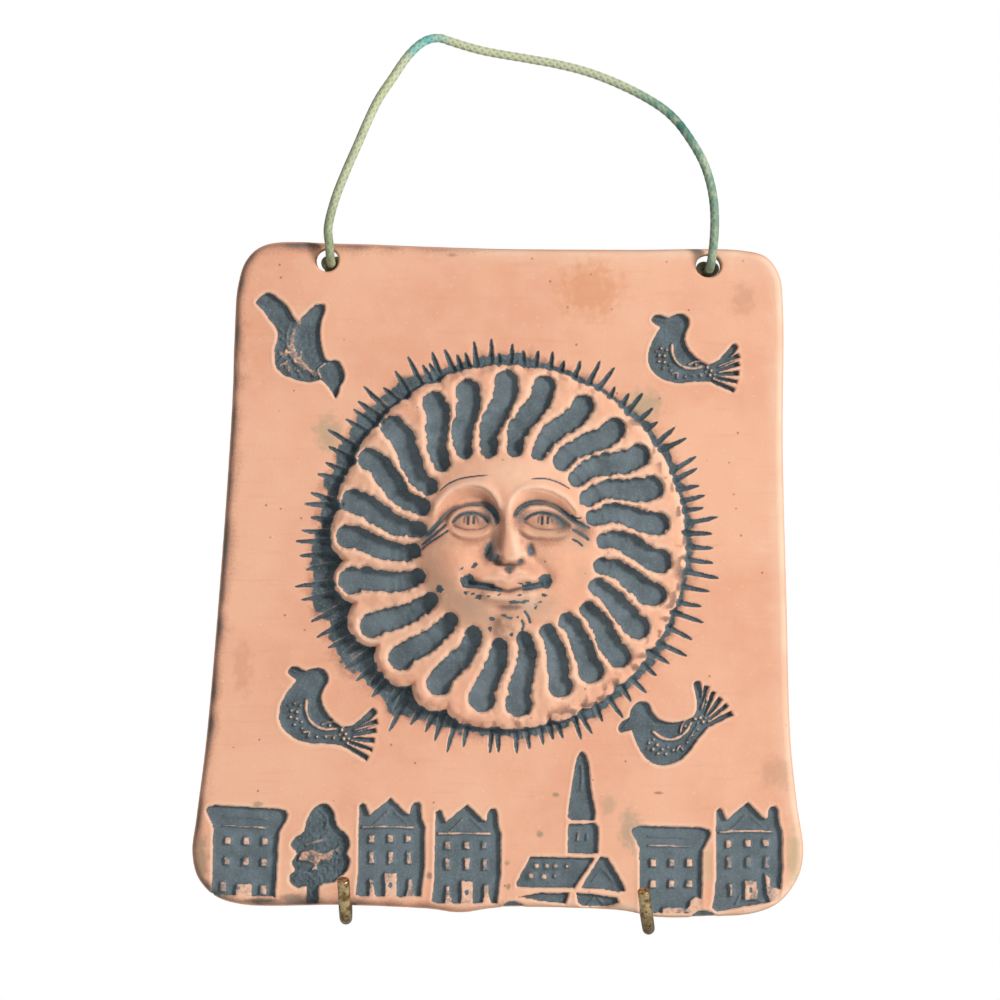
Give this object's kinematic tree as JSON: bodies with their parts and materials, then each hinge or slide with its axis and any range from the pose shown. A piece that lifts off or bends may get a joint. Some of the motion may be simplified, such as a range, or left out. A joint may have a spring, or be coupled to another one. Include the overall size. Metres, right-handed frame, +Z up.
{
  "type": "decorative wall plaque",
  "caption": "Terracotta wall plaque with a sun face in relief, stamped birds and a street of houses, bent brass key hooks along the bottom and a waxed cord to hang it by.",
  "frame": {"origin": "the point where the nail under the cord's highest bend enters the wall", "axes": "+Z up, the carved front faces -Y and the wall is the plane y = 0, +X to the right of someone who looks at the front"},
  "size_m": [0.1499, 0.0234, 0.2213],
  "materials": {
    "terracotta": "unglazed, blue-grey slip in the cuts",
    "brass": "worn",
    "waxed_cord": "waxed"
  },
  "bodies": {
    "root": {"plaque": "terracotta", "left_hook": "brass", "right_hook": "brass", "hanging_cord": "waxed_cord", "left_knot": "waxed_cord", "right_knot": "waxed_cord"}
  },
  "joints": []
}
